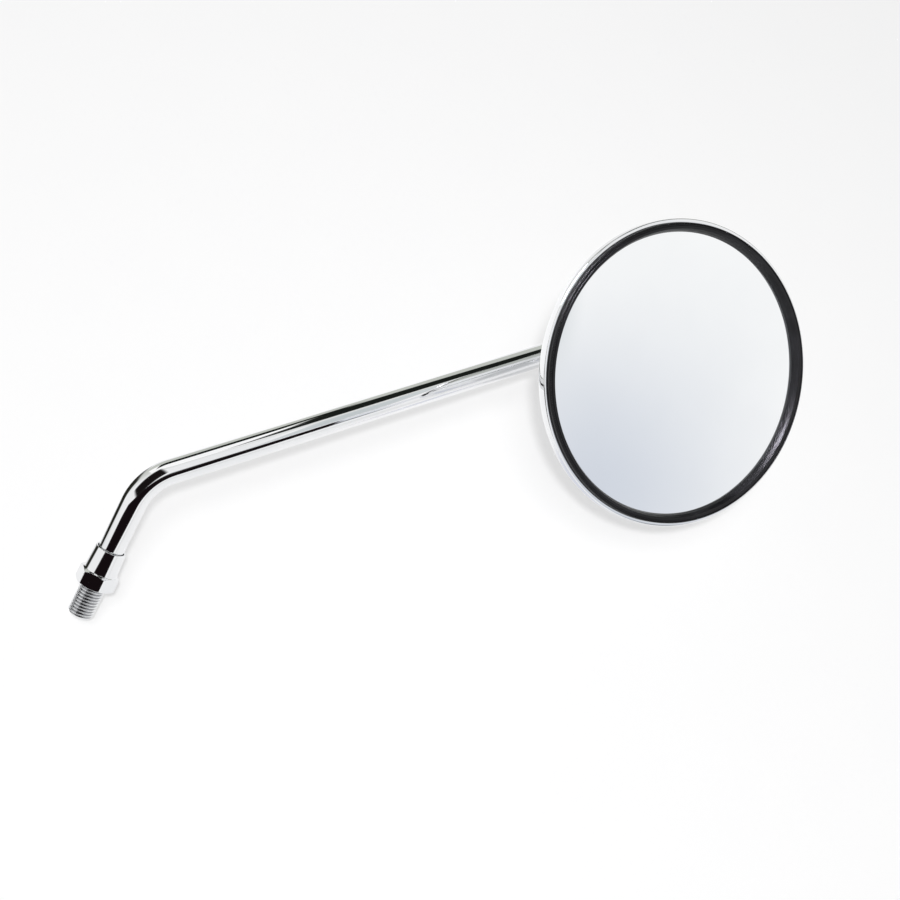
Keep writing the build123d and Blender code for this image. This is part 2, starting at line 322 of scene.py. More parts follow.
class Graph:
    """The node tree of a material, of the world or of a lamp."""

    def __init__(self, tree: bpy.types.NodeTree) -> None:
        """Empties the tree."""
        self.tree = tree
        tree.nodes.clear()

    def node(self, kind: str, settings: dict | None = None, inputs: dict | None = None) -> bpy.types.Node:
        """Adds a node, sets it, and feeds its sockets.

        Args:
            kind: Node type.
            settings: Properties of the node by name.
            inputs: Values or links by socket name or number.

        Returns:
            The new node.
        """
        made = self.tree.nodes.new(kind)
        for key, value in (settings or {}).items():
            setattr(made, key, value)
        for key, value in (inputs or {}).items():
            value = value.socket if isinstance(value, Tone) else value
            if isinstance(value, Socket):
                self.tree.links.new(value, made.inputs[key])
            else:
                made.inputs[key].default_value = value
        return made

    def tone(
        self, kind: str, settings: dict | None = None, inputs: dict | None = None, output: int | str = 0,
    ) -> Tone:
        """Adds a node in the same way and gives one of its outputs as a tone."""
        return Tone(self, self.node(kind, settings, inputs).outputs[output])

    def shader(self, kind: str, inputs: dict | None = None) -> Socket:
        """Adds a shader node, feeds its sockets and gives its shader."""
        return self.node(kind, None, inputs).outputs[0]

    def show(self, share: Tone, shader: Socket) -> None:
        """Ends a sheet's material: the shader by a share, and clear for the rest."""
        clear = self.shader("ShaderNodeBsdfTransparent")
        mixed = self.shader("ShaderNodeMixShader", {0: share, 1: clear, 2: shader})
        self.node("ShaderNodeOutputMaterial", None, {"Surface": mixed})

    def seen(self) -> Tone:
        """1 for the rays that show a surface: from the lens, off a gloss and through a clear piece."""
        rays = self.node("ShaderNodeLightPath").outputs
        kinds = ("Camera", "Glossy", "Transmission")
        lens, gloss, clear = (Tone(self, rays[f"Is {kind} Ray"]) for kind in kinds)
        return lens + gloss + clear

    def front(self) -> Tone:
        """1 on the front of a sheet and 0 on its back."""
        return 1 - self.tone("ShaderNodeNewGeometry", None, None, "Backfacing")

    def place(self) -> Socket:
        """Object coordinates, in metres in the part's frame."""
        return self.node("ShaderNodeTexCoord").outputs["Object"]

    def noise(self, size: float, detail: float = 2.0) -> Tone:
        """Cloudy noise from 0 to 1 whose blotches are about as large as the size in millimetres."""
        inputs = {"Vector": self.place(), "Scale": 1 / (size * MM), "Detail": detail}
        return self.tone("ShaderNodeTexNoise", None, inputs, "Fac")

    def cells(self, size: float) -> Tone:
        """Distance from the middle of the nearest of many cells about as large as the size in millimetres."""
        inputs = {"Vector": self.place(), "Scale": 1 / (size * MM)}
        return self.tone("ShaderNodeTexVoronoi", None, inputs, "Distance")

    def mix(self, share: Tone, first: Colour | Socket, second: Colour) -> Socket:
        """Mixes two colours by a tone."""
        return self.node("ShaderNodeMix", {"data_type": "RGBA"}, {0: share, 6: first, 7: second}).outputs[2]

    def bump(self, height: Tone, depth: float) -> Socket:
        """Normal of a surface whose height varies by the depth in millimetres."""
        inputs = {"Strength": 1.0, "Distance": depth * MM, "Height": height}
        return self.node("ShaderNodeBump", None, inputs).outputs[0]


def new_material(name: str) -> tuple[bpy.types.Material, Graph]:
    """Makes a material and empties its graph."""
    made = bpy.data.materials.new(name)
    made.use_nodes = True
    return made, Graph(made.node_tree)


@dataclass(frozen=True)
class Finish(ABC):
    """A finish: a material made of nodes for one of the part's slots."""

    slot: Slot

    @abstractmethod
    def shader(self, graph: Graph) -> Socket:
        """Builds the shader in an empty graph and gives its output."""

    def material(self) -> bpy.types.Material:
        """Makes the material."""
        made, graph = new_material(self.slot.value)
        graph.node("ShaderNodeOutputMaterial", None, {"Surface": self.shader(graph)})
        return made


@dataclass(frozen=True)
class ChromePlate(Finish):
    """Bright plate: a little cloudy, faintly rippled by polishing, with dull specks and painted shade darkening
    the grooves of its thread.
    """

    bright: Colour = (0.84, 0.845, 0.855, 1)
    cloudy: Colour = (0.79, 0.80, 0.815, 1)
    # Painted shade: the dark colour that the thread's grooves are mixed towards.
    groove_shade_colour: Colour = (0.10, 0.10, 0.11, 1)
    cloud_size: float = 26.0
    cloud_edge: Span = (0.35, 0.75)
    cloud_share: float = 0.4
    speck_size: float = 1.6
    speck_edge: Span = (0.05, 0.12)
    ripple_size: float = 5.0
    ripple_depth: float = 0.004
    polish: float = 0.035
    dullness: float = 0.05

    def shader(self, graph: Graph) -> Socket:
        """Clouded metal with ripples, dull where the specks are, and darkened by painted shade in the thread's
        grooves.
        """
        clouds = graph.noise(self.cloud_size, detail=3.0)
        specks = 1 - graph.cells(self.speck_size).step(*self.speck_edge)
        # Painted shade in the thread's grooves, carried by a point attribute of the rod.
        soil = graph.tone("ShaderNodeAttribute", {"attribute_name": GROOVE_SHADE}, None, "Fac")
        plate = graph.mix(clouds.step(*self.cloud_edge), self.bright, self.cloudy)
        return graph.shader("ShaderNodeBsdfPrincipled", {
            "Base Color": graph.mix(soil, plate, self.groove_shade_colour),
            "Metallic": 1.0,
            "Roughness": self.polish + self.dullness * (self.cloud_share * clouds + specks),
            "Normal": graph.bump(graph.noise(self.ripple_size), self.ripple_depth),
        })


@dataclass(frozen=True)
class SilveredGlass(Finish):
    """Mirror glass: a cool silver film under a clear polished face with a trace of dust."""

    silver: Colour = (0.93, 0.942, 0.95, 1)
    veil: Colour = (0.905, 0.92, 0.932, 1)
    veil_size: float = 40.0
    veil_edge: Span = (0.3, 0.75)
    veil_dullness: float = 0.01
    dust_size: float = 1.1
    dust_edge: Span = (0.04, 0.09)
    dust_dullness: float = 0.12
    polish: float = 0.012
    face: float = 0.3
    face_polish: float = 0.01

    def shader(self, graph: Graph) -> Socket:
        """Clear silver with faint veils, a little duller where dust lies."""
        veil = graph.noise(self.veil_size, detail=3.0).step(*self.veil_edge)
        dust = 1 - graph.cells(self.dust_size).step(*self.dust_edge)
        return graph.shader("ShaderNodeBsdfPrincipled", {
            "Base Color": graph.mix(veil, self.silver, self.veil),
            "Metallic": 1.0,
            "Roughness": self.polish + self.veil_dullness * veil + self.dust_dullness * dust,
            "Coat Weight": self.face,
            "Coat Roughness": self.face_polish,
        })


@dataclass(frozen=True)
class Grained(Finish):
    """Two colours in blotches, under a fine grain that dents and dulls the surface."""

    first: Colour
    second: Colour
    blotch_size: float
    blotch_edge: Span
    grain_size: float
    grain_depth: float
    grain_dullness: float
    dullness: float
    blotch_detail: float = 3.0
    blotch_dullness: float = 0.0
    grain_detail: float = 2.0
    metal: float = 0.0
    shine: float = 0.5
    fuzz: float = 0.0

    def blotches(self, graph: Graph) -> Tone:
        """Cloudy blotches."""
        return graph.noise(self.blotch_size, self.blotch_detail)

    def shader(self, graph: Graph) -> Socket:
        """Blotches of the second colour on the first, with the grain over them."""
        blotch = self.blotches(graph).step(*self.blotch_edge)
        grain = graph.noise(self.grain_size, self.grain_detail)
        return graph.shader("ShaderNodeBsdfPrincipled", {
            "Base Color": graph.mix(blotch, self.first, self.second),
            "Metallic": self.metal,
            "Roughness": self.dullness + self.blotch_dullness * blotch + self.grain_dullness * grain,
            "Specular IOR Level": self.shine,
            "Sheen Weight": self.fuzz,
            "Normal": graph.bump(grain, self.grain_depth),
        })


@dataclass(frozen=True)
class MouldedRubber(Grained):
    """Black moulded rubber: satin, with a paler and duller bloom in patches."""

    first: Colour = (0.005, 0.005, 0.006, 1)
    second: Colour = (0.012, 0.012, 0.014, 1)
    blotch_size: float = 14.0
    blotch_edge: Span = (0.38, 0.72)
    blotch_detail: float = 4.0
    blotch_dullness: float = 0.14
    grain_size: float = 0.35
    grain_depth: float = 0.005
    grain_detail: float = 1.0
    grain_dullness: float = 0.08
    dullness: float = 0.28
    shine: float = 0.25


@dataclass(frozen=True)
class ZincSteel(Grained):
    """Zinc plated steel: a dull grey spangle with fine pits."""

    first: Colour = (0.66, 0.66, 0.64, 1)
    second: Colour = (0.50, 0.50, 0.49, 1)
    blotch_size: float = 1.8
    blotch_edge: Span = (0.1, 0.7)
    grain_size: float = 0.5
    grain_depth: float = 0.01
    grain_dullness: float = 0.2
    dullness: float = 0.28
    metal: float = 1.0

    def blotches(self, graph: Graph) -> Tone:
        """Spangle: one blotch in each cell."""
        return graph.cells(self.blotch_size)


@dataclass(frozen=True)
class MouldedNylon(Grained):
    """Natural nylon: creamy, satin, faintly mottled."""

    first: Colour = (0.72, 0.70, 0.63, 1)
    second: Colour = (0.64, 0.61, 0.53, 1)
    blotch_size: float = 3.0
    blotch_edge: Span = (0.3, 0.8)
    grain_size: float = 0.3
    grain_depth: float = 0.008
    grain_dullness: float = 0.16
    dullness: float = 0.38


@dataclass(frozen=True)
class PressedFelt(Grained):
    """Dark pressed felt: matted fibres with paler tips."""

    first: Colour = (0.045, 0.045, 0.05, 1)
    second: Colour = (0.10, 0.10, 0.11, 1)
    blotch_size: float = 0.6
    blotch_edge: Span = (0.35, 0.75)
    blotch_detail: float = 5.0
    grain_size: float = 0.6
    grain_depth: float = 0.25
    grain_detail: float = 5.0
    grain_dullness: float = 0.12
    dullness: float = 0.86
    fuzz: float = 0.3


class Workshop:
    """Makes each finish once and fits pieces with it."""

    def __init__(self) -> None:
        """Makes the materials, one for each slot."""
        finishes = (
            ChromePlate(Slot.CHROME), MouldedRubber(Slot.RUBBER), SilveredGlass(Slot.MIRROR),
            ZincSteel(Slot.ZINC), MouldedNylon(Slot.NYLON), PressedFelt(Slot.FELT),
        )
        self.materials = {finish.slot: finish.material() for finish in finishes}

    def fit(self, piece: bpy.types.Object, slot: Slot, body: Body, node: str) -> None:
        """Dresses a new piece, puts it on its body and lets it stand for a solid.

        Args:
            piece: The new piece.
            slot: Material slot that its finish comes from.
            body: Body that it rides on.
            node: Solid that it stands for.
        """
        piece.data.materials.append(self.materials[slot])
        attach(piece, body.value)
        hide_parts(node)
        log.info("%s: %d faces, on %s", piece.name, len(piece.data.polygons), body.value)

    def dress_solid(self, node: str, slot: Slot) -> None:
        """Gives a solid that stays as it is its finish.

        Args:
            node: Solid's name.
            slot: Material slot that its finish comes from.
        """
        materials = frame["nodes"][node].data.materials
        materials.clear()
        materials.append(self.materials[slot])
        log.info("%s: solid in %s", node, slot.value)


@dataclass(frozen=True)
class Stem:
    """Bent rod with a threaded foot, a turned neck and a riveted end."""

    rod_radius: float = 5.0
    foot: float = 13.0
    leg_height: float = 46.5
    leg_bend: float = 55.0
    leg_bend_radius: float = 20.0
    run_length: float = 216.0
    neck_bend_radius: float = 18.0
    neck_length: float = 40.0
    pitch: float = 1.25
    thread_length: float = 22.0
    thread_runout: float = 1.6
    # How dark the painted shade at the roots of the thread gets.
    thread_groove_shade: float = 0.75
    tip_chamfer: float = 1.0
    relief_width: float = 2.0
    relief_depth: float = 0.9
    relief_slope: float = 0.4
    shoulder_gap: float = 14.0
    shoulder_taper: float = 1.5
    neck_radius: float = 3.75
    spigot_radius: float = 3.0
    ball_back: float = 7.99
    ball_front: float = 7.6
    rivet_flare: float = 1.0
    edge_ease: float = 0.12
    columns: int = 96
    rings_per_pitch: int = 16
    bend_rings: int = 40
    run_rings: int = 60

    def bends(self) -> tuple[float, float, float, float]:
        """Distances along the rod at which the leg's bend starts and ends, and the neck's."""
        turn, radius = np.radians(self.leg_bend), self.leg_bend_radius
        setback = radius * np.tan(turn / 2)
        leg = self.foot + self.leg_height - setback
        neck = leg + radius * turn + self.run_length - setback - self.neck_bend_radius
        return leg, leg + radius * turn, neck, neck + self.neck_bend_radius * np.pi / 2

    def path(self, s: Array) -> tuple[Array, Array, Array]:
        """Axis of the rod at distances from its foot: straight, bent outward, straight, bent back, straight.

        A bend of radius R turns the two directions across the rod about one axis. Over a length x of it the
        axis moves R sin(x/R) along its old direction and R (1 - cos(x/R)) towards the bend's centre.

        Args:
            s: Distances along the rod.

        Returns:
            Points of the axis and the two directions across it, each of shape (rows, 3).
        """
        up, out, side = np.eye(3)[[2, 0, 1]]
        lean = np.radians(self.leg_bend)
        leg, leg_end, neck, neck_end = self.bends()
        bends = (
            (leg, leg_end, np.array([np.sin(lean), 0, np.cos(lean)]), self.leg_bend_radius),
            (neck, neck_end, -side, self.neck_bend_radius),
        )
        point = np.zeros((len(s), 3)) - self.foot * up
        first, second = np.tile(out, (len(s), 1)), np.tile(side, (len(s), 1))
        way, start = up, 0.0
        for bend, bend_end, new_way, radius in bends:
            axis = unit(np.cross(way, new_way))
            point = point + np.clip(s - start, 0, bend - start)[:, None] * way
            turn = np.clip(s - bend, 0, bend_end - bend) / radius
            inward = (1 - np.cos(turn))[:, None] * np.cross(axis, way)
            point = point + radius * (np.sin(turn)[:, None] * way + inward)
            first, second = turned(first, axis, turn), turned(second, axis, turn)
            way, start = new_way, bend_end
        return point + np.clip(s - start, 0, None)[:, None] * way, first, second

    def length(self) -> float:
        """Length of the rod along its axis, from its foot to its riveted end."""
        return self.bends()[-1] + self.neck_length - self.neck_bend_radius + self.ball_front

    def profile(self) -> tuple[Array, Array]:
        """Distances along the rod and its plain radius there: tip chamfer, relief, shoulder, neck and spigot.

        Returns:
            Distances and radii, each of shape (points,).
        """
        rod, neck, spigot, ease = self.rod_radius, self.neck_radius, self.spigot_radius, self.edge_ease
        end = self.length()
        seat = end - self.ball_front - self.ball_back
        relief = rod - self.relief_depth
        relief_start, relief_stop = self.thread_length, self.thread_length + self.relief_width
        shoulder = end - self.ball_front - self.shoulder_gap
        taper_end = shoulder + self.shoulder_taper
        knots = np.array([
            (0, rod - self.tip_chamfer), (self.tip_chamfer, rod),
            (relief_start, rod), (relief_start + self.relief_slope, relief),
            (relief_stop - self.relief_slope, relief), (relief_stop - ease, rod - ease / 3),
            (relief_stop + ease, rod), (shoulder - 2 * ease, rod), (shoulder + ease, rod - ease),
            (taper_end - ease, neck + ease), (taper_end + ease, neck),
            (seat - ease, neck), (seat + ease, spigot),
            (end - self.rivet_flare, spigot), (end, spigot + self.rivet_flare),
        ])
        return knots[:, 0], knots[:, 1]

    def rows(self) -> Array:
        """Distances of the rings: close together on the thread and the bends, and at each change of radius."""
        leg, leg_end, neck, neck_end = self.bends()
        return np.unique(np.concatenate([
            np.arange(0, self.thread_length + self.pitch, self.pitch / self.rings_per_pitch),
            np.linspace(leg, leg_end, self.bend_rings),
            np.linspace(neck, neck_end, self.bend_rings),
            np.linspace(leg_end, neck, self.run_rings),
            self.profile()[0],
        ]).round(4))

    def thread(self, s: Array, turns: Array) -> Array:
        """Depth of the right-hand screw thread below the plain rod.

        The phase is the height over the pitch less the turn, so a crest climbs one pitch in one turn. From the
        middle of a crest the depth is nothing for a sixteenth of a pitch, rises along a flank and stays at the
        root for the last eighth. It fades at the top of the thread.

        Args:
            s: Distances along the rod.
            turns: Angles of the columns in radians.

        Returns:
            Depths, shape (rows, columns).
        """
        crest, flank = 1 / 16, 5 / 16
        depth = flank * self.pitch * np.sqrt(3)
        phase = s[:, None] / self.pitch - turns / (2 * np.pi)
        away = np.abs(phase % 1 - 0.5)
        ramp = np.clip((away - crest) / flank, 0, 1)
        soft = 0.5 * (ramp + ramp * ramp * (3 - 2 * ramp))
        fade = np.clip((self.thread_length - s) / self.thread_runout, 0, 1)[:, None]
        return depth * soft * fade

    def grid(self) -> tuple[Array, Array]:
        """Surface of the rod: its radius at each ring and turn, carried along its axis.

        Returns:
            Points, shape (rows, columns, 3), and the depth of the thread at each of them.
        """
        s = self.rows()
        turns = full_circle(self.columns)
        radius = np.interp(s, *self.profile())[:, None]
        depth = self.thread(s, turns)
        radius = np.minimum(radius, self.rod_radius - depth)
        point, first, second = self.path(s)
        across = np.cos(turns)[:, None] * first[:, None] + np.sin(turns)[:, None] * second[:, None]
        return point[:, None] + radius[..., None] * across, depth

    def build(self, workshop: Workshop) -> None:
        """Makes the rod and dresses it, and the ball on its end."""
        points, depth = self.grid()
        # Painted shade in the thread: darkest at the roots, none on the crests.
        rod = surface("stem_rod", points, Ends.FANS, self.thread_groove_shade * (depth / depth.max()) ** 2)
        workshop.fit(rod, Slot.CHROME, Body.STEM, "stem")
        workshop.dress_solid("swivel_ball", Slot.ZINC)


@dataclass(frozen=True)
class LockNut:
    """Turned nut: a hexagon with chamfered corners and a tapered skirt over the end of the thread."""

    across_flats: float = 14.0
    hex_height: float = 6.5
    turn: float = 20.0
    corner_round: float = 0.3
    chamfer_angle: float = 30.0
    chamfer_inset: float = 0.35
    skirt_foot_radius: float = 6.6
    skirt_top_radius: float = 6.0
    height: float = 16.0
    bore_radius: float = 5.05
    counterbore_radius: float = 5.3
    counterbore_taper: float = 0.2
    threaded: float = 8.0
    mouth_chamfer: float = 0.7
    bore_ease: float = 0.05
    face_ease: float = 0.1
    hex_ease: float = 0.12
    skirt_ease: float = 0.22
    lip_ease: float = 0.2

    def turns(self) -> Array:
        """Angles of the columns in radians, close together at the corners of the hexagon."""
        bend = self.corner_reach()
        on_corner, on_flat = np.linspace(0, bend, 5), np.linspace(2 * bend, np.pi / 6, 8)
        half = np.concatenate([on_corner, [1.3 * bend], on_flat])
        sector = np.concatenate([half, np.pi / 3 - half[-2:0:-1]])
        return (np.radians(self.turn) + sector + np.arange(6)[:, None] * np.pi / 3).ravel()

    def corner_center(self) -> float:
        """Distance from the axis to the centre of a rounded corner."""
        return (self.across_flats / 2 - self.corner_round) / np.cos(np.pi / 6)

    def corner_reach(self) -> float:
        """Angle from a corner to where its round meets the flat, in radians."""
        along = self.corner_center() + self.corner_round * np.cos(np.pi / 6)
        return np.arctan2(self.corner_round * np.sin(np.pi / 6), along)

    def hexagon(self, turns: Array) -> Array:
        """Distance from the axis to the hexagon.

        On a flat it is half the width over the cosine of the angle from the flat's middle. On a corner it is
        where the ray meets the corner's circle.

        Args:
            turns: Angles in radians.

        Returns:
            Distances, shape (columns,).
        """
        off = np.abs((turns - np.radians(self.turn) + np.pi / 6) % (np.pi / 3) - np.pi / 6)
        flat = self.across_flats / 2 / np.cos(np.pi / 6 - off)
        center = self.corner_center()
        within = np.clip(self.corner_round**2 - (center * np.sin(off)) ** 2, 0, None)
        corner = center * np.cos(off) + np.sqrt(within)
        return np.where(off < self.corner_reach(), corner, flat)

    def section(self, turns: Array) -> Array:
        """Closed section at each turn: the hexagon between two chamfer cones, then skirt, counterbore and bore.

        A chamfer cone rises with the tangent of its angle from a circle inside the flats, so it takes more off
        the corners than off the flats.

        Args:
            turns: Angles in radians.

        Returns:
            Radius and height of each row at each turn, shape (rows, columns, 2).
        """
        reach = self.hexagon(turns)
        slope = np.tan(np.radians(self.chamfer_angle))
        under = self.across_flats / 2 - self.chamfer_inset
        corners = (
            (self.bore_radius + self.mouth_chamfer, 0.0, self.bore_ease),
            (under, 0.0, self.face_ease),
            (reach, (reach - under) * slope, self.hex_ease),
            (reach, self.hex_height - (reach - self.skirt_foot_radius) * slope, self.hex_ease),
            (self.skirt_foot_radius, self.hex_height, self.skirt_ease),
            (self.skirt_top_radius, self.height, self.skirt_ease),
            (self.counterbore_radius, self.height, self.lip_ease),
            (self.counterbore_radius, self.threaded, self.bore_ease),
            (self.bore_radius, self.threaded - self.counterbore_taper, self.bore_ease),
            (self.bore_radius, self.mouth_chamfer, self.bore_ease),
        )
        outline = np.stack([np.stack(np.broadcast_arrays(r, z, reach)[:2], axis=-1) for r, z, _ in corners])
        return rounded(outline, [ease for _, _, ease in corners])

    def build(self, workshop: Workshop) -> None:
        """Makes the nut and dresses it."""
        turns = self.turns()
        axes = Axes.along((0, 0, 0), (0, 0, 1), (1, 0, 0))
        nut = surface("lock_nut_body", axes.revolve(self.section(turns), turns), Ends.RING)
        workshop.fit(nut, Slot.CHROME, Body.LOCK_NUT, "lock_nut")


@dataclass(frozen=True)
class MirrorHead:
    """Round head: pressed shell, rim gasket and glass about one axis, with the swivel's clamp inside."""

    axes: Axes
    shell_front: float = 26.0
    bowl_radius: float = 64.7
    wall: float = 1.2
    wall_depth: float = 2.6
    dome_radius: float = 140.0
    edge_round: float = 0.45
    burr_round: float = 0.09
    shoulder_radius: float = 8.0
    socket_radius: float = 11.9
    socket_fillet: float = 4.0
    mouth_angle: float = 54.0
    rim_front: float = 27.8
    rim_radius: float = 63.05
    rim_mouth_radius: float = 60.6
    rim_sight_radius: float = 59.3
    rim_bulge: float = 0.45
    rim_groove_radius: float = 62.05
    rim_groove_width: float = 0.9
    rim_groove_floor: float = 0.44
    rim_groove_depth: float = 0.38
    rim_rear_radius: float = 58.1
    rim_rear_lip: float = 1.2
    front_ease: float = 0.58
    groove_ease: float = 0.12
    mouth_ease: float = 0.5
    bulge_ease: float = 1.2
    sight_ease: float = 0.15
    seat_ease: float = 0.1
    rear_ease: float = 0.3
    back_ease: float = 0.2
    glass_front: float = 24.4
    glass_back: float = 21.9
    glass_radius: float = 60.4
    glass_arris: float = 0.4
    glass_ease: float = 0.04
    glass_rings: Span = (0.5, 0.98)
    rubber_gap: float = 0.05
    columns: int = 192

    def skin(self, inset: float) -> Array:
        """Half section of one face of the shell, from the socket's mouth to the wall.

        Four arcs run into each other: the socket about the ball, the fillet round it, the dome, and the
        shoulder. The fillet's centre is as far outside the socket as outside the dome, so all the arcs keep
        their centres when the face is drawn in by the wall's thickness.

        Args:
            inset: How far the face lies inside the outer one.

        Returns:
            Radius and height of each row, shape (rows, 2).
        """
        shoulder = (self.bowl_radius - self.shoulder_radius, self.shell_front - self.wall_depth)
        dome = shoulder[1] + np.sqrt((self.dome_radius - self.shoulder_radius) ** 2 - shoulder[0] ** 2)
        to_dome = self.dome_radius + self.socket_fillet
        to_socket = self.socket_radius + self.socket_fillet
        height = (dome**2 - to_dome**2 + to_socket**2) / (2 * dome)
        fillet = (np.sqrt(to_socket**2 - height**2), height)
        socket_end = np.degrees(np.arctan2(fillet[1], fillet[0]))
        dome_start = np.degrees(np.arctan2(fillet[1] - dome, fillet[0]))
        dome_end = np.degrees(np.arctan2(shoulder[1] - dome, shoulder[0]))
        return np.concatenate([
            arc((0, 0), self.socket_radius - inset, self.mouth_angle - 90, socket_end, steps=14)[:-1],
            arc(fillet, self.socket_fillet + inset, socket_end + 180, dome_start + 180, steps=12)[:-1],
            arc((0, dome), self.dome_radius - inset, dome_start, dome_end, steps=24)[:-1],
            arc(shoulder, self.shoulder_radius - inset, dome_end, 0, steps=16),
        ])

    def shell(self) -> Array:
        """Closed section of the shell: outer face, rounded front edge, inner face and half-round mouth."""
        lip = self.wall / 2
        middle = self.socket_radius - lip
        turn, burr = self.edge_round, self.burr_round
        inner = self.rim_radius + self.rubber_gap + burr
        edge = np.concatenate([
            arc((self.bowl_radius - turn, self.shell_front - turn), turn, 0, 90, steps=9),
            arc((inner, self.shell_front - burr), burr, 90, 180, steps=5),
        ])
        mouth_turn = np.radians(self.mouth_angle - 90)
        mouth = arc(
            (middle * np.cos(mouth_turn), middle * np.sin(mouth_turn)), lip,
            self.mouth_angle + 90, self.mouth_angle + 270, steps=9,
        )
        return np.concatenate([self.skin(0), edge, self.skin(self.wall)[::-1], mouth[1:-1]])

    def rim(self) -> Array:
        """Closed section of the gasket: front with its groove, bevel to the glass, channel, and rear lip."""
        floor = self.rim_groove_floor
        groove = self.rim_groove_radius + 0.5 * self.rim_groove_width * np.array([1, floor, -floor, -1])
        groove_heights = self.rim_front - self.rim_groove_depth * np.array([0, 1, 1, 0])
        seat = self.glass_radius + self.rubber_gap
        rear = self.glass_back - self.rim_rear_lip
        bulge = (self.rim_sight_radius + self.rim_bulge, (self.rim_front + self.glass_front) / 2)
        outline = np.array((
            (self.rim_radius, self.glass_front, self.rear_ease),
            (self.rim_radius, self.rim_front, self.front_ease),
            *((*corner, self.groove_ease) for corner in zip(groove, groove_heights)),
            (self.rim_mouth_radius, self.rim_front, self.mouth_ease),
            (*bulge, self.bulge_ease),
            (self.rim_sight_radius, self.glass_front, self.sight_ease),
            (seat, self.glass_front, self.seat_ease),
            (seat, self.glass_back, self.seat_ease),
            (self.rim_rear_radius, self.glass_back, self.rear_ease),
            (self.rim_rear_radius, rear, self.rear_ease),
            (self.glass_radius, rear, self.back_ease),
        ))
        return rounded(outline[:, :2], outline[:, 2])

    def glass(self) -> Array:
        """Half section of the glass, from the middle of its back round its ground edge to that of its face."""
        arris, ease = self.glass_arris, self.glass_ease
        rings = np.linspace(*self.glass_rings, 6) * self.glass_radius
        radius = np.concatenate([rings, self.glass_radius - np.array([arris + ease, arris, ease / 2, 0])])
        height = np.concatenate([np.zeros_like(rings), [0, ease / 2, arris - ease, arris]])
        back = np.stack([radius, self.glass_back + height], axis=-1)
        face = np.stack([radius, self.glass_front - height], axis=-1)
        return np.concatenate([back, face[::-1]])

    def build(self, workshop: Workshop) -> None:
        """Makes shell, rim and glass, and dresses them and the solids inside."""
        turns = full_circle(self.columns)
        pieces = (
            ("shell_skin", self.shell(), Ends.RING, Slot.CHROME, "mirror_shell"),
            ("rim_ring", self.rim(), Ends.RING, Slot.RUBBER, "rim_gasket"),
            ("glass_disc", self.glass(), Ends.FANS, Slot.MIRROR, "mirror_glass"),
        )
        for name, section, ends, slot, node in pieces:
            workshop.fit(surface(name, self.axes.revolve(section, turns), ends), slot, Body.HEAD, node)
        inside = {
            Slot.NYLON: ("rear_ball_seat", "front_ball_seat"),
            Slot.FELT: ("glass_pad",),
            Slot.ZINC: ("clamp_plate", "clamp_studs", "disc_springs", "stud_washers", "stud_nuts"),
        }
        for slot, nodes in inside.items():
            for node in nodes:
                workshop.dress_solid(node, slot)


@dataclass(frozen=True)
class Card:
    """A card round the part that only shows in polished surfaces.

    Its middle and its two half edges are as the camera sees them, from the part's origin: to the right, up, and
    back towards the lens. It fades over the soft share of each half edge. A card with one side shows only where
    its first edge turns counter-clockwise to its second.
    """

    name: str
    middle: Triple
    half_across: Triple
    half_up: Triple
    colour: Colour
    soft: float = 0.15
    one_sided: bool = False


@dataclass(frozen=True)
class Lamp:
    """A round lamp: its place as the camera sees it, from the part's origin, its width and its power.

    The light of an even lamp is as strong far away as near it.
    """

    name: str
    place: Triple
    size: float
    power: float
    even: bool = False


LAMPS = (
    Lamp("beside_lens", (157, 96, 607), 40, 5.3, even=True),
    Lamp("overhead", (305, 610, 2410), 875, 18),
)

INK: Colour = (0.008, 0.005, 0.006, 1)
SLATE: Colour = (0.012, 0.014, 0.012, 1)
DUSK: Colour = (0.03, 0.03, 0.03, 1)
CHALK: Colour = (0.93, 0.94, 0.955, 1)

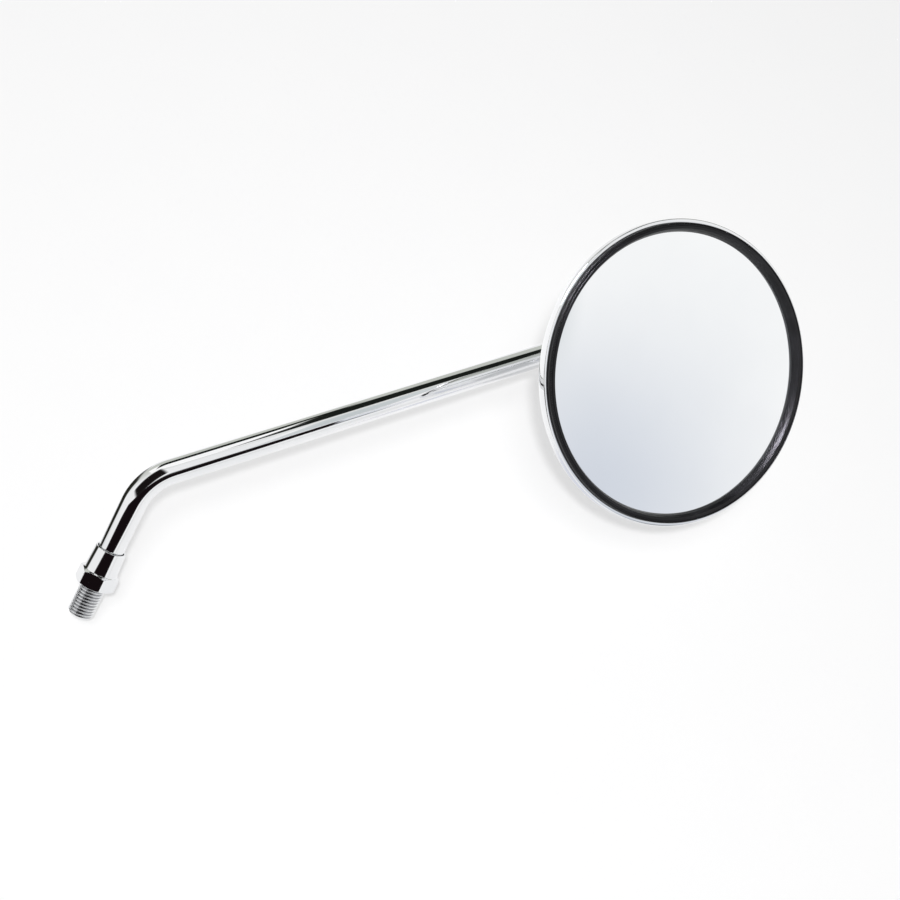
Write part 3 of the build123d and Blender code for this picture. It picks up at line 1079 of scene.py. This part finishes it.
# In this order: dark cards for the bands along rod, nut and shell; bright and tinted ones; a strip light; a
# pale screen that keeps the dark cards out of the glass; and haze.
CARDS = (
    Card("dark_front", (94, -210, 407), (524, 0, 0), (0, 154, 120), INK),
    Card("dark_run", (83, 37.2, 11.5), (50, 15.2, -20.2), (2.07, -9.83, -2.29), INK, one_sided=True),
    Card("dark_lens", (33, 69, 120.5), (50, 45.4, -13.5), (-54.8, 56.7, -28.6), (0.01, 0.008, 0.008, 1), 0.25),
    Card("dark_beside", (900, -275, 356), (150, 0, 0), (0, 72, 56), (0.10, 0.105, 0.11, 1), 1.0),
    Card("dusk_run", (71.9, 43.2, 19), (63, 16.4, -25.8), (0.97, -4.58, -1.07), DUSK, 1.0, True),
    Card("dark_above", (425, 350, 0), (238, 0, -152), (36, 0, 76), SLATE, 0.08),
    Card("dark_over", (282, 351, 0), (160, 0, 0), (34, 0, 70), SLATE, 0.08),
    Card("dark_line", (30, 350, 16), (90, 0, -54), (0, 0, 70), SLATE, 0.08),
    Card("dark_edge", (-41, 38, -17), (12, 0, -36), (27.5, 52.8, 7.7), (0.02, 0.02, 0.015, 1), 0.3),
    Card("bright_left", (60, 354, 140), (200, 0, 0), (50, 0, 120), (1.15, 1.14, 1.13, 1)),
    Card("bright_under", (80, 150, -130), (140, 0, -41.3), (27, 151, -102.5), (1.1, 1.1, 1.1, 1), 0.5),
    Card("lilac_under", (172, 20, -77), (49, -5.5, -11), (7, 16, -12), (0.74, 0.76, 0.84, 1), 0.8),
    Card("green_back", (100, 358, -120), (1500, 0, 0), (0, 0, 600), (0.60, 0.62, 0.57, 1), 1.0),
    Card("grey_right", (415, 185, 218), (-40, 0, 53), (0, 170, 0), (0.64, 0.68, 0.69, 1), 0.4),
    Card("strip_light", (152, 195, 43), (0, 0, -9), (7, 50, 11), (190, 184, 212, 1), 0.4, True),
    Card("screen", (460.5, 47.7, 214.9), (0, 416, 58), (258.6, -29, 208.6), CHALK, 0.02, True),
    Card("screen_foot", (192.6, -117.8, -28.4), (0, 220.4, 30.7), (16.3, -1.8, 13.1), CHALK, 0.02, True),
    Card("screen_haze", (451, 49, 200), (0, 230, 32), (195, -22, 157), (0.70, 0.735, 0.80, 1), 1.0, True),
    Card("haze", (1646, -431, 950), (-276, -59, 311), (-24, -472, -82), (0.68, 0.715, 0.785, 1), 1.0),
)


@dataclass(frozen=True)
class Studio:
    """Pale table, soft light from all round, cards for the chrome, and the camera.

    Directions are the camera's: to the right, up, and back towards the lens.
    """

    lamps: tuple[Lamp, ...]
    cards: tuple[Card, ...]
    camera_place: Triple = (-238.61, -409.70, 170.60)
    right: Triple = (0.6975, -0.5506, 0.4587)
    up: Triple = (-0.2668, 0.3945, 0.8793)
    focal_length: float = 50.0
    sensor: float = 36.0
    nearest: float = 10.0
    table_normal: Triple = (0.25, 0.53, 0.848)
    table_drop: float = 19.5
    table_size: float = 4000.0
    table_grey: float = 0.99
    table_shade: Triple = (0.012, 0.012, 0.008)
    table_glow: float = 0.55
    paper_size: float = 30.0
    sky: float = 0.30

    def lens_axes(self) -> Axes:
        """Axes of the camera: x to the right, y up, z back from the scene."""
        right = unit(self.right)
        return Axes.along(self.camera_place, np.cross(right, unit(self.up)), right)

    def seen_from_lens(self, seen: ArrayLike) -> Array:
        """A place or direction given as the camera sees it, in the part's frame."""
        return np.asarray(seen, float) @ self.lens_axes().rows()

    @staticmethod
    def aim(obj: bpy.types.Object, axes: Axes) -> None:
        """Stands a camera or lamp at the axes' origin, looking along minus z, and puts it in the scene."""
        turn = Matrix(axes.rows().T.tolist()).to_4x4()
        bpy.context.scene.collection.objects.link(obj)
        obj.matrix_world = Matrix.Translation((axes.origin * MM).tolist()) @ turn

    @staticmethod
    def sheet(name: str, middle: Array, across: Array, upright: Array, steps: int = 9) -> bpy.types.Object:
        """Flat sheet: its middle plus each share of two half edges, on a grid.

        Args:
            name: Name of the sheet.
            middle: Middle of the sheet.
            across: Half edge along its first side.
            upright: Half edge along its second side.
            steps: Points along each side.

        Returns:
            The new object, marked as stage.
        """
        shares = np.linspace(-1, 1, steps)
        u, v = np.meshgrid(shares, shares)
        points = middle + u[..., None] * across + v[..., None] * upright
        index = np.arange(u.size).reshape(u.shape)
        corners = [index[:-1, :-1], index[:-1, 1:], index[1:, 1:], index[1:, :-1]]
        quads = np.stack(corners, axis=-1).reshape(-1, 4)
        made = mesh_object(name, points.reshape(-1, 3), quads.tolist())
        share = np.stack([u, v], axis=-1).reshape(-1, 2)[quads.ravel()] * 0.5 + 0.5
        made.data.uv_layers.new(name="sheet").uv.foreach_set("vector", share.ravel())
        made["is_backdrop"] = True
        return made

    def lay_table(self) -> None:
        """Pale table under the mirror, seen from above only, that lets the light of the room through."""
        normal = unit(self.seen_from_lens(self.table_normal))
        axes = Axes.along(-self.table_drop * normal, normal, self.lens_axes().x)
        table = self.sheet("table", axes.origin, axes.x * self.table_size, axes.y * self.table_size)
        made, graph = new_material("table_top")
        light = (self.table_grey,) * 3
        shade = tuple(self.table_grey - less for less in self.table_shade)
        colour = graph.mix(graph.noise(self.paper_size, detail=3.0), (*light, 1), (*shade, 1))
        matt = graph.shader("ShaderNodeBsdfDiffuse", {"Color": colour})
        glow = graph.shader("ShaderNodeEmission", {"Color": colour, "Strength": 1.0})
        top = graph.shader("ShaderNodeMixShader", {0: self.table_glow, 1: matt, 2: glow})
        graph.show(graph.seen() * graph.front(), top)
        table.data.materials.append(made)

    def stand_card(self, card: Card) -> None:
        """Stands a card where polished surfaces catch it; no other ray meets it."""
        edges = (card.middle, card.half_across, card.half_up)
        sheet = self.sheet(card.name, *(self.seen_from_lens(edge) for edge in edges))
        made, graph = new_material(card.name)
        share = graph.node("ShaderNodeTexCoord").outputs["UV"]
        place = graph.node("ShaderNodeSeparateXYZ", None, {0: share}).outputs
        wide, high = (abs(Tone(graph, place[axis]) - 0.5) * 2 for axis in ("X", "Y"))
        body = (1 - wide.step(1 - card.soft, 1.0)) * (1 - high.step(1 - card.soft, 1.0))
        if card.one_sided:
            body = body * graph.front()
        graph.show(body, graph.shader("ShaderNodeEmission", {"Color": card.colour}))
        sheet.data.materials.append(made)
        sheet.visible_camera = sheet.visible_diffuse = sheet.visible_shadow = sheet.visible_transmission = False

    def light_room(self) -> None:
        """White room, dimmer for matt surfaces."""
        world = bpy.data.worlds.new("room")
        world.use_nodes = True
        graph = Graph(world.node_tree)
        plain, white = (self.sky,) * 3, (self.table_grey,) * 3
        colour = graph.mix(graph.seen(), (*plain, 1), (*white, 1))
        back = graph.shader("ShaderNodeBackground", {"Color": colour, "Strength": 1.0})
        graph.node("ShaderNodeOutputWorld", None, {"Surface": back})
        bpy.context.scene.world = world

    def hang_lamp(self, lamp: Lamp) -> None:
        """Hangs a lamp so that it shines on the middle of the part; polished surfaces don't show it."""
        data = bpy.data.lights.new(lamp.name, "AREA")
        data.shape = "DISK"
        data.size = lamp.size * MM
        data.energy = lamp.power
        if lamp.even:
            data.use_nodes = True
            graph = Graph(data.node_tree)
            even = graph.tone("ShaderNodeLightFalloff", None, {"Strength": 1.0}, "Constant")
            glow = graph.shader("ShaderNodeEmission", {"Strength": even})
            graph.node("ShaderNodeOutputLight", None, {"Surface": glow})
        made = bpy.data.objects.new(lamp.name, data)
        place = self.seen_from_lens(lamp.place)
        away = place - np.asarray(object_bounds()).mean(axis=0) / MM
        self.aim(made, Axes.along(place, away, self.lens_axes().x))
        made.visible_glossy = False

    def set_camera(self) -> None:
        """Camera at the photo's place."""
        data = bpy.data.cameras.new("camera")
        data.lens = self.focal_length
        data.sensor_width = self.sensor
        data.clip_start = self.nearest * MM
        camera = bpy.data.objects.new("camera", data)
        self.aim(camera, self.lens_axes())
        bpy.context.scene.camera = camera

    def build(self) -> None:
        """Sets up camera, light, table and cards."""
        self.set_camera()
        self.light_room()
        self.lay_table()
        for lamp in self.lamps:
            self.hang_lamp(lamp)
        for card in self.cards:
            self.stand_card(card)
        log.info("studio: table, %d lamps and %d cards", len(self.lamps), len(self.cards))


def head_axes() -> Axes:
    """Axes of the head from the frame's joints: about the swivel, z out of the glass and x across it."""
    joints = {joint["name"]: joint for joint in frame["joints"]}
    spin, tilt = joints["head_spin"], joints["head_tilt"]
    return Axes.along(np.asarray(spin["pos_m"]) / MM, spin["axis"], tilt["axis"])


def main() -> None:
    """Builds the mirror piece by piece, then the studio round it."""
    logging.basicConfig(level=logging.INFO, format="%(name)s: %(message)s")
    bpy.context.scene.view_settings.view_transform = "Standard"
    workshop = Workshop()
    Stem().build(workshop)
    LockNut().build(workshop)
    MirrorHead(head_axes()).build(workshop)
    Studio(LAMPS, CARDS).build()


if __name__ == "__main__":
    main()
